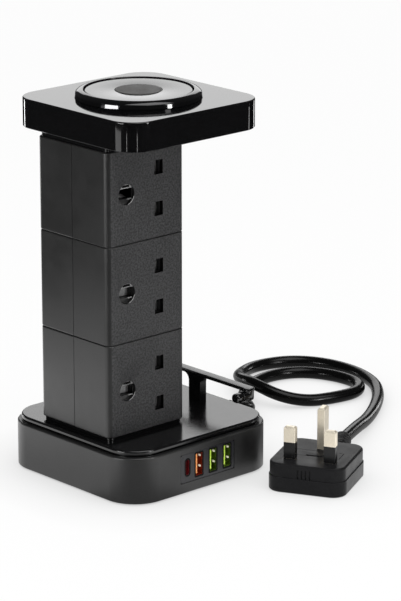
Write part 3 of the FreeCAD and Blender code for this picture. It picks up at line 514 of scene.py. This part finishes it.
def grown(obj, tree, finish, **sizes):
    """Runs a geometry tree on a piece and keeps the plain mesh that it makes."""
    nodes = obj.modifiers.new("grown", "NODES")
    nodes.node_group = tree
    sizes["Finish"] = FINISH[finish]
    for item in tree.interface.items_tree:
        label = item.name.replace(" ", "_")
        if item.in_out == "INPUT" and label in sizes:
            nodes[item.identifier] = sizes[label]
    baked(obj)
    smooth(obj.data, 35.0)
    return obj


REFINED = {
    "foot_collar": 0.15, "top_collar": 0.15, "top_under_cover": 0.2, "rest_post": 0.3,
    "port_panel": 0.12, "usb_c_tongue": 0.08, "plug_cover": 0.25, "plug_back": 0.25, "plug_line_pins": 0.18,
    "plug_earth_pin": 0.18, "plug_pin_sleeves": 0.12, "fuse_carrier": 0.2,
    "rubber_feet": 0.2, "base_bottom_plate": 0.2,
}
PIECE = {}

# Sides and corners of the rounded squares, and the cord's way out of the base, in millimetres
BASE_SIDE, BASE_CORNER = 105.0, 19.0
COVER_SIDE, COVER_CORNER = 100.8, 16.9
TRAY_SIDE, TRAY_CORNER = 95.0, 15.0
EXIT_Y, EXIT_Z = 12.0, 11.5
EXIT_R, EXIT_DEPTH = 6.65, 6.0

# Base shell: closed profile of the skirt, with the panel's opening and the cord's hole cut out
shell = swept("base_shell_piece", BASE_SIDE, BASE_CORNER,
              [(2.4, 0.8), (0.5, 0.8), (0.0, 1.3)] + arc(0.9, 25.1, 0.9, 0.0, 90.0)
              + [(1.3, 26.0), (3.2, 26.0), (3.5, 25.7), (3.5, 24.0), (2.4, 24.0)], closed=True)
hole = lathed("hole", [(0.0, -EXIT_DEPTH), (EXIT_R, -EXIT_DEPTH), (EXIT_R, EXIT_DEPTH), (0.0, EXIT_DEPTH)],
              steps=64, closed=False)
hole.data.transform(placed((51.3, EXIT_Y, EXIT_Z), 90.0, "Y"))
opening = block_mesh("opening", -18.4, 20.2, -56.0, -49.0, 6.4, 22.4)
PIECE["base_shell"] = dress(cut(shell, opening, hole), "base_shell")
PIECE["base_cover"] = dress(swept("base_cover_piece", COVER_SIDE, COVER_CORNER,
                                  [(1.65, 24.0), (1.65, 27.1), (0.3, 27.1), (0.0, 27.4)]
                                  + arc(1.1, 28.3, 1.1, 0.0, 90.0, 8) + [(1.5, 29.4)]), "base_cover")
PIECE["top_tray"] = dress(swept("top_tray_piece", TRAY_SIDE, TRAY_CORNER,
                                [(2.2, 201.5), (2.2, 188.1), (0.3, 188.1), (0.0, 188.4)]
                                + arc(0.8, 202.9, 0.8, 0.0, 90.0, 8) + [(1.2, 203.7)]), "top_tray")

# Charger ring: a flat arc that falls outward, a tight shoulder, and a soft inner edge
ring_profile = ([(28.8, 203.7), (33.35, 203.7), (33.6, 203.95), (33.37, 205.7)]
                + arc(32.2, 205.7, 1.17, 0.0, 45.0, 8, 1.0)[1:] + arc(29.5, 203.0, 4.99, 45.0, 90.0, 12, 1.0)[1:]
                + arc(29.5, 207.49, 0.5, 90.0, 180.0, 8, 1.0)[1:])
PIECE["charger_ring"] = dress(lathed("charger_ring_piece", ring_profile), "charger_ring")
PIECE["charger_pad"] = dress(lathed("charger_pad_piece", [
    (0.0, 204.2), (28.4, 204.2), (28.4, 206.9), (28.3, 207.15), (28.1, 207.33), (27.8, 207.4), (27.4, 207.4),
    (12.9, 207.4), (12.65, 207.35), (12.5, 207.2), (12.5, 206.6), (0.0, 206.6)], closed=False), "charger_pad")
PIECE["centre_pad"] = dress(lathed("centre_pad_piece", [
    (0.0, 206.6), (12.4, 206.6), (12.4, 207.35), (12.3, 207.52), (12.1, 207.6), (11.6, 207.6), (0.0, 207.6)],
    closed=False), "centre_pad")

# Phone rest: flat bar, a rounded foot at each end, and a round-nosed arm that holds the phone's edge
REST_Z = 46.0
REST_ENDS = (-45.0, 36.6)
arm_rings = [(1.5, 1.3, 1.2, 27.2), (2.1, 1.85, 1.5, 27.35), (2.5, 2.25, 1.8, 27.8), (2.7, 2.45, 1.9, 28.6),
             (2.7, 2.45, 1.9, 31.3), (2.3, 2.05, 1.7, 31.6), (2.3, 2.05, 1.7, 32.3), (2.7, 2.45, 1.9, 32.6),
             (2.7, 2.45, 1.9, 37.5)]
foot_rings = [(2.3, 2.1, 1.9, 39.3), (2.65, 2.45, 2.3, 39.5), (2.9, 2.7, 2.6, 40.0), (2.9, 2.7, 2.6, 45.4),
              (2.8, 2.6, 2.5, 45.8), (2.5, 2.3, 2.2, REST_Z - 0.01)]
bar = ringed("rest_bar_piece", [(2.35, 0.7, 0.3, -46.9), (2.65, 1.0, 0.35, -46.5), (2.65, 1.0, 0.35, 38.1),
                                (2.35, 0.7, 0.3, 38.5)], "y", (37.9, 0.0, REST_Z - 1.0))
ends = []
for y in REST_ENDS:
    ends.append(ringed("rest_end", foot_rings, "z", (37.6, y, 0.0), 8))
    ends.append(ringed("rest_arm", arm_rings, "x", (0.0, y, 41.75), 8))
PIECE["rest_bar"] = dress(cut(bar, *ends, how="UNION"), "rest_bar")
PIECE["rest_bar"].data.materials[0] = FINISH["rest_satin"]


def on_rest_end(at, _):
    """The gloss black ends of the rest: feet and arms below the bar's top face."""
    at_an_end = at.y < REST_ENDS[0] + 3.0 or at.y > REST_ENDS[1] - 3.0
    return at.z < REST_Z - 0.3 and at_an_end and (at.x < 35.2 or at.z < REST_Z - 1.9 or at.y < -46.95)


painted(PIECE["rest_bar"], "top_gloss", on_rest_end)

# Ports: each mouth is a folded shell with a rolled lip, coloured inside. The wide ones have two spring leaves,
# painted near white and glowing as their highlights.
# A wide or small port is two half sizes and a corner
PORT_FRONT = -52.35
PORT_BACK = -40.35
PORT_Z = 14.8
PORT_WALL = 0.35
WIDE_X = (-5.2, 4.9, 15.0)
WIDE = (2.7, 6.45, 0.5)
SMALL_X = -13.4
SMALL = (1.6, 4.6, 1.59)


def mouth(x, half_x, half_z, corner):
    """A port's folded shell, from its half sizes and corner."""
    behind_lip = PORT_FRONT + 0.14
    rings = [(half_x, half_z, corner, PORT_BACK), (half_x, half_z, corner, behind_lip),
             (half_x - 0.09, half_z - 0.09, corner - 0.05, PORT_FRONT),
             (half_x - 0.25, half_z - 0.25, corner - 0.2, PORT_FRONT),
             (half_x - PORT_WALL, half_z - PORT_WALL, corner - 0.3, behind_lip),
             (half_x - PORT_WALL, half_z - PORT_WALL, corner - 0.3, PORT_BACK - PORT_WALL)]
    return ringed("mouth", rings, "y", (x, 0.0, PORT_Z), 6)


def inside_mouth(x, half_x, half_z, _):
    """A test for the faces inside a port's shell."""
    return lambda at, _: (abs(at.x - x) < half_x - 0.3 and abs(at.z - PORT_Z) < half_z - 0.3
                          and PORT_FRONT + 0.1 < at.y < PORT_BACK - 0.2)


def spring_leaf(x, z):
    """A small leaf that bulges from the port's wall."""
    return ringed("leaf", [(0.9, 0.6, 0.3, x + 2.4), (0.8, 0.5, 0.3, x + 2.0), (0.6, 0.32, 0.25, x + 1.75)], "x",
                  (0.0, PORT_FRONT + 2.2, PORT_Z + z), 3)


def tongue(x):
    """Insulating tongue with a rounded front edge."""
    return ringed("tongue", [(0.45, 5.2, 0.3, PORT_FRONT + 0.35), (0.62, 5.4, 0.36, PORT_FRONT + 0.5),
                             (0.70, 5.5, 0.3, PORT_FRONT + 0.9), (0.70, 5.5, 0.3, PORT_BACK - 0.35)], "y",
                  (x - 1.6, 0.0, PORT_Z + 0.4), 4)


def contacts(x):
    """Four contact strips in a row on the tongue's far side."""
    strip = ringed("strip", [(0.08, 2.6, 0.05, -0.5), (0.08, 2.6, 0.05, 0.5)], "z", (0.0, 0.0, 0.0), 2)
    strip = grown(strip, TAPER_ROW, "contact_brass", Count=4, First=-3.75 * MM, Pitch=2.5 * MM)
    strip.data.transform(placed((x - 0.88, PORT_FRONT + 4.4, PORT_Z)))
    return strip


def rim(x, half_x, half_z, corner):
    """A thin black sheet that lies on the panel round a mouth: painted shade at the mouth's edge."""
    centre = (x, 0.0, PORT_Z)
    opening = (half_x - 0.25, half_z - 0.25, corner - 0.2)
    plate = ringed("rim", [(half_x + 0.45, half_z + 0.5, corner + 0.4, PORT_FRONT - 0.10),
                           (half_x + 0.5, half_z + 0.55, corner + 0.4, PORT_FRONT - 0.02)], "y", centre, 6)
    hole = ringed("hole", [(*opening, PORT_FRONT - 0.5), (*opening, PORT_FRONT + 0.5)], "y", centre, 6)
    return cut(plate, hole)


# The black rims are painted shade round the openings.
rims = joined("port_rims", *[rim(x, *WIDE) for x in WIDE_X], rim(SMALL_X, *SMALL))
rims.data.materials.append(FINISH["shut_line"])
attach(rims, NODE_BODY["port_panel"])
parts = []
for x in WIDE_X:
    parts += [mouth(x, *WIDE), spring_leaf(x, 4.0), spring_leaf(x, -1.9)]
PIECE["usb_a_mouths"] = dress(joined("usb_a_mouths_piece", *parts), "usb_a_mouths")
# The insides' glow is painted light.
for x, finish in zip(WIDE_X, ("mouth_orange", "mouth_green", "mouth_green")):
    painted(PIECE["usb_a_mouths"], finish, inside_mouth(x, *WIDE))
# The spring leaves are painted bright as their highlights.
painted(PIECE["usb_a_mouths"], "leaf_bright", lambda at, _: (
    PORT_FRONT + 0.8 < at.y < PORT_FRONT + 3.6 and any(1.7 < at.x - x < 2.41 for x in WIDE_X)))
PIECE["usb_c_mouth"] = dress(joined("usb_c_mouth_piece", mouth(SMALL_X, *SMALL)), "usb_c_mouth")
painted(PIECE["usb_c_mouth"], "mouth_red", inside_mouth(SMALL_X, *SMALL))
for node, places in (("usb_a_tongue_fast", WIDE_X[:1]), ("usb_a_tongues", WIDE_X[1:])):
    parts = [make_part(x) for x in places for make_part in (tongue, contacts)]
    PIECE[node] = dress(joined(node + "_piece", *parts), node)
    painted(PIECE[node], "contact_brass", lambda at, _: any(-0.87 < at.x - x < -0.7 for x in WIDE_X))

# Strain reliefs: a tapered core with rounded rings, and on the plug a block of ribs before them
RELIEF_RING = [(0.8, -1.05), (1.04, -1.05), (1.09, -0.8), (1.11, -0.3), (1.11, 0.3), (1.09, 0.8), (1.04, 1.05),
               (0.8, 1.05)]
core = lathed("core", [(0.0, -4.4), (6.4, -4.4), (6.4, -4.0), (8.0, -4.0), (8.0, -2.6), (7.8, -2.4), (6.4, -2.4),
                       (6.35, 0.0), (6.0, 0.6), (5.7, 2.0), (4.25, 24.6), (4.5, 25.2), (4.45, 25.8), (4.2, 26.0),
                       (0.0, 26.0)], steps=64, closed=False)
rings = grown(lathed("rings", RELIEF_RING, steps=64), TAPER_ROW, "rubber", Count=6, First=3.0 * MM,
              Pitch=3.9 * MM, First_size=5.95, Last_size=4.75)
relief = joined("cord_strain_relief_piece", core, rings)
relief.data.transform(placed((BASE_SIDE / 2.0, EXIT_Y, EXIT_Z), 90.0, "Y"))
PIECE["cord_strain_relief"] = dress(relief, "cord_strain_relief")

PLUG_FRAME = placed((40.0, -90.0, 16.0), -62.0)
block = ringed("block", [(5.9, 5.1, 2.2, 0.0), (5.9, 5.1, 2.2, 11.6), (5.0, 4.6, 2.4, 12.0)], "z", steps=6)
rib = ringed("ribs", [(0.93, 0.82, 0.36, -1.0), (0.98, 0.87, 0.4, -0.85), (1.0, 0.89, 0.42, -0.5),
                      (1.0, 0.89, 0.42, 0.5), (0.98, 0.87, 0.4, 0.85), (0.93, 0.82, 0.36, 1.0)], "z", steps=6)
ribs = grown(rib, TAPER_ROW, "rubber", Count=4, First=1.05 * MM, Pitch=3.25 * MM, First_size=7.0, Last_size=6.5)
cone = lathed("cone", [(0.0, 11.0), (4.7, 11.0), (4.0, 26.0), (4.45, 26.2), (4.4, 26.8), (4.1, 27.0), (0.0, 27.0)],
              steps=64, closed=False)
cone_rings = grown(lathed("cone_rings", RELIEF_RING, steps=64), TAPER_ROW, "rubber", Count=4, First=14.2 * MM,
                   Pitch=3.35 * MM, First_size=5.3, Last_size=4.6)
relief = joined("plug_strain_relief_piece", block, ribs, cone, cone_rings)
relief.data.transform(PLUG_FRAME @ placed((0.0, 34.0, -8.0), -90.0, "X"))
PIECE["plug_strain_relief"] = dress(relief, "plug_strain_relief")


# Screws: one with a cross recess, repeated at four corners
def screws(node, spread, head_z, head_t):
    """Head down at head_z, its shaft as high as the node's."""
    top = head_z + head_t
    end_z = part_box(node)[1][2] / MM
    body = lathed("screw", [(0.0, head_z), (2.3, head_z), (2.65, head_z + 0.2), (2.8, head_z + 0.5), (2.8, top),
                            (1.5, top), (1.5, end_z - 0.8), (0.7, end_z), (0.0, end_z)], steps=40, closed=False)
    body = cut(body, block_mesh("cross", -1.5, 1.5, -0.3, 0.3, head_z - 1.0, head_z + 0.7),
               block_mesh("cross", -0.3, 0.3, -1.5, 1.5, head_z - 1.0, head_z + 0.7))
    return dress(grown(body, CORNER_SET, "screw_steel", Spread=2.0 * spread * MM), node)


PIECE["base_screws"] = screws("base_screws", 25.0, 1.0, 1.6)
PIECE["top_screws"] = screws("top_screws", 34.0, 188.2, 1.1)
coil = grown(block_mesh("charging_coil_piece", 0.0, 1.0, 0.0, 1.0, 0.0, 1.0), WOUND_COIL, "copper_coil")
coil.data.transform(placed((0.0, 0.0, 204.4)))
PIECE["charging_coil"] = dress(coil, "charging_coil")

for node, bevel in REFINED.items():
    PIECE[node] = refined(node, bevel)
for number in SOCKETS:
    for side in ("front", "back"):
        node = "%s_shell_%d" % (side, number)
        PIECE[node] = refined(node, 0.4)

FACE_Y = -26.55
SEAM_Y = 1.5
SLOT_LEFT, SLOT_RIGHT = -12.96, -7.04


def satin_sides(obj):
    """The socket face keeps its grain, and the sides of the same shell are satin as the back half is."""
    face_y = min(v.co.y for v in obj.data.vertices) / MM
    painted(obj, "body_satin", lambda at, way: way.y >= -0.9 or at.y >= face_y + 0.6)


def painted_seam_shade(obj):
    """The eased edges where the halves meet are painted black, as painted shade in the shut line. So are the walls
    of the line slots, as painted shade in the slots.
    """
    baked(obj)
    painted(obj, "shut_line", lambda at, way: (abs(at.y - SEAM_Y) < 0.42 and 0.2 < abs(way.y) < 0.98)
            or (SLOT_LEFT < at.x < SLOT_RIGHT and FACE_Y + 0.1 < at.y < FACE_Y + 2.5))


for number in SOCKETS:
    satin_sides(PIECE["front_shell_%d" % number])
    painted_seam_shade(PIECE["front_shell_%d" % number])
    painted_seam_shade(PIECE["back_shell_%d" % number])

# Earth holes: a sloped lip above each slot, painted pale as the reflection it shows, with a black notch in it as
# painted shade; and a sill and an arc of rim below, painted pale as highlights
EARTH_X = -32.2
EARTH_Z = 54.95
SOCKET_PITCH = 53.1
LIP_HALF, LIP_R, LIP_Z = 4.6, 5.42, 2.78
RIM_R, RIM_START, RIM_TURN = 5.5, -78.0, 62.0
ARC_STEPS = 24


def earth_lip(number):
    """The four small pieces round one earth hole, as one object."""
    z = EARTH_Z + SOCKET_PITCH * (number - 1)
    lip = []
    for k in range(ARC_STEPS + 1):
        u = LIP_HALF * (2.0 * k / ARC_STEPS - 1.0)
        crown = max(math.sqrt(LIP_R ** 2 - u * u), LIP_Z + 0.02)
        lip.append([(EARTH_X + u, FACE_Y + depth, z + h)
                    for depth, h in ((1.97, LIP_Z), (0.7, crown), (1.97, crown))])
    arc_rim = []
    for k in range(ARC_STEPS + 1):
        turn = math.radians(RIM_START + RIM_TURN * k / ARC_STEPS)
        arc_rim.append([(EARTH_X + r * math.cos(turn), FACE_Y + depth, z + r * math.sin(turn))
                        for r, depth in ((RIM_R, 0.05), (RIM_R - 0.23, 0.12), (RIM_R, 0.5))])
    # A black notch in the lip: painted shade in its pocket.
    shade_notch = ringed("shade_notch", [(0.7, 0.55, 0.3, -2.1), (0.7, 0.55, 0.3, 2.1)], "x",
                   (EARTH_X + 0.1, FACE_Y + 0.95, z + 4.3), 3)
    shade_notch.data.polygons.foreach_set("material_index", [1] * len(shade_notch.data.polygons))
    sill = ringed("sill", [(0.5, 0.16, 0.1, 1.4), (0.5, 0.16, 0.1, 4.2)], "x", (EARTH_X, FACE_Y + 1.5, z - 2.75), 3)
    obj = joined("earth_lip_%d" % number, wedge("lip", lip), shade_notch, sill, wedge("rim", arc_rim))
    # The lip, sill and rim arc take the pale grey of a painted reflection. The notch takes the black painted shade.
    for finish in ("lip_grey", "shut_line"):
        obj.data.materials.append(FINISH[finish])
    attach(obj, NODE_BODY["front_shell_%d" % number])


for number in SOCKETS:
    earth_lip(number)
for node, obj in frame["nodes"].items():
    if node not in PIECE and node != "cord":
        obj.data.materials.clear()
        obj.data.materials.append(FINISH[NODE_SLOT[node]])


# Cord
def make_cord():
    """A round tube along the route, its shading smooth."""
    curve = bpy.data.curves.new("cord_flex", "CURVE")
    curve.dimensions = "3D"
    curve.bevel_depth = CORD_D / 2.0 * MM
    curve.bevel_resolution = 11
    curve.use_fill_caps = True
    spline = curve.splines.new("NURBS")
    spline.points.add(len(CORD_ROUTE) - 1)
    for point, place in zip(spline.points, CORD_ROUTE):
        point.co = (place[0] * MM, place[1] * MM, place[2] * MM, 1.0)
    spline.order_u = 3
    spline.use_endpoint_u = True
    spline.resolution_u = 16
    obj = linked("cord_flex", curve)
    obj.cycles.shadow_terminator_offset = 0.35
    return dress(obj, "cord")


flex = make_cord()


# Floor, light and camera
FLOOR_TONE = (0.90, 0.90, 0.90, 1.0)
FLOOR_GLOW = 0.93
# Painted contact shadow in the floor's glow: how dark it gets near the object and how far it reaches.
CONTACT_SHADE = 0.58
CONTACT_REACH = 0.045
# Light that gloss sees on the floor, by distance in metres: from near to far, and darker again close to the base
GLOSS_NEAR, GLOSS_FAR = 0.16, 0.42
GLOSS_BRIGHT, GLOSS_DIM = 2.15, 0.04
CLOSE_START, CLOSE_END = 0.07, 0.19
GLOSS_CLOSE = 0.51
# Black flags on the floor that gloss sees: where they lie, how far they reach, and the light left there
FLOOR_FLAGS = (((-0.678, -0.735), 0.78, 0.96, 0.35), ((0.985, 0.17), 0.55, 0.85, 0.25))
WORLD_FILL = 0.35
WORLD_GLOSS = 0.06


def light_path_floor():
    """White floor. The camera sees it near white with the object's shadow, partly cast by the lamps and mostly
    painted into its glow from ambient occlusion; gloss sees it fade with distance.
    """
    material = bpy.data.materials.new("white sweep")
    material.use_nodes = True
    tree = material.node_tree
    tree.nodes.clear()
    path = tree.nodes.new("ShaderNodeLightPath").outputs
    matte = make(tree, "ShaderNodeBsdfDiffuse", {"Color": FLOOR_TONE})
    # Ambient occlusion darkens the glow near the object: a painted contact shadow.
    near = make(tree, "ShaderNodeAmbientOcclusion", {"Distance": CONTACT_REACH}, samples=12)
    contact = mapped(tree, near.outputs["AO"], 0.0, 1.0, CONTACT_SHADE, 1.0)
    glow = make(tree, "ShaderNodeEmission", {"Strength": contact})
    share = maths(tree, "MULTIPLY", path["Is Camera Ray"], FLOOR_GLOW)
    lit = make(tree, "ShaderNodeMixShader", {0: share, 1: matte.outputs[0], 2: glow.outputs[0]})
    place = tree.nodes.new("ShaderNodeTexCoord").outputs["Object"]
    far = vector_maths(tree, "LENGTH", "Value", place)
    way = vector_maths(tree, "NORMALIZE", "Vector", place)
    fade = mapped(tree, far, GLOSS_NEAR, GLOSS_FAR, GLOSS_BRIGHT, GLOSS_DIM, "SMOOTHSTEP")
    close = mapped(tree, far, CLOSE_START, CLOSE_END, GLOSS_CLOSE, 1.0, "SMOOTHSTEP")
    strength = maths(tree, "MULTIPLY", fade, close)
    for (x, y), wide, narrow, left in FLOOR_FLAGS:
        towards = vector_maths(tree, "DOT_PRODUCT", "Value", way, (x, y, 0.0))
        strength = maths(tree, "MULTIPLY", strength, mapped(tree, towards, wide, narrow, 1.0, left, "SMOOTHSTEP"))
    seen = make(tree, "ShaderNodeEmission", {"Strength": strength})
    both = make(tree, "ShaderNodeMixShader", {0: path["Is Glossy Ray"], 1: lit.outputs[0], 2: seen.outputs[0]})
    make(tree, "ShaderNodeOutputMaterial", {"Surface": both.outputs[0]})
    return material


bpy.ops.mesh.primitive_plane_add(size=9.0, location=(0.0, 0.0, 0.0))
floor = bpy.context.object
floor.name = "floor"
floor.data.materials.append(light_path_floor())

world = bpy.data.worlds.new("studio")
bpy.context.scene.world = world
world.use_nodes = True
tree = world.node_tree
path = tree.nodes.new("ShaderNodeLightPath").outputs
unseen = mapped(tree, path["Is Camera Ray"], 0.0, 1.0, WORLD_FILL, 1.0)
feed(tree, tree.nodes["Background"], {
    "Color": (1.0, 1.0, 1.0, 1.0), "Strength": mapped(tree, path["Is Glossy Ray"], 0.0, 1.0, unseen, WORLD_GLOSS)})


def aimed(obj, azimuth, elevation, distance, aim):
    """Sets a lamp or camera back from its aim and turned to it. Gives the ways back and to the right."""
    a = math.radians(azimuth)
    e = math.radians(elevation)
    back = Vector((math.sin(a) * math.cos(e), -math.cos(a) * math.cos(e), math.sin(e)))
    obj.location = Vector(aim) + back * distance
    obj.rotation_euler = (math.radians(90.0) - e, 0.0, a)
    return back, Vector((math.cos(a), math.sin(a), 0.0))


def softbox(name, azimuth, elevation, distance, wide, tall, power, aim=(0.0, 0.0, 0.1)):
    """A rectangular light, placed from its aim as the camera is."""
    data = bpy.data.lights.new(name, "AREA")
    data.shape = "RECTANGLE"
    data.size = wide
    data.size_y = tall
    data.energy = power
    aimed(linked(name, data), azimuth, elevation, distance, aim)


softbox("overhead", 10.0, 72.0, 1.5, 1.2, 1.2, 14.0)
softbox("left low", -100.0, 8.0, 1.3, 0.5, 0.30, 0.6)
softbox("right", 14.0, 20.0, 1.5, 0.25, 0.7, 3.0)
softbox("behind", 137.3, 17.0, 2.2, 1.3, 0.9, 6.2)
RING_AIM = (0.0, 0.0, 0.205)
BASE_AIM = (0.0, 0.0, 0.03)
softbox("ring left", -89.6, -2.4, 0.6, 0.26, 0.06, 1.3, RING_AIM)
softbox("ring right", 14.0, -2.4, 0.6, 0.085, 0.06, 0.6, RING_AIM)
for azimuth, wide, power in ((-65.5, 0.012, 0.03), (-27.7, 0.010, 0.03), (-99.0, 0.26, 0.16), (-172.0, 0.030, 0.20),
                             (58.8, 0.022, 0.05), (98.6, 0.040, 0.09)):
    softbox("corner streak %d" % azimuth, azimuth, 2.0, 0.62, wide, 0.10, power, BASE_AIM)

camera_data = bpy.data.cameras.new("camera")
camera_data.sensor_fit = "VERTICAL"
camera_data.sensor_height = SENSOR
camera_data.lens = LENS
camera = linked("camera", camera_data)
back, right = aimed(camera, VIEW_AZIMUTH, VIEW_ELEVATION, VIEW_DISTANCE, (0.0, 0.0, AIM_HEIGHT))
camera.location += right * VIEW_RIGHT + back.cross(right) * VIEW_UP
bpy.context.scene.camera = camera
bpy.context.scene.view_settings.view_transform = "Standard"

bpy.context.view_layer.update()
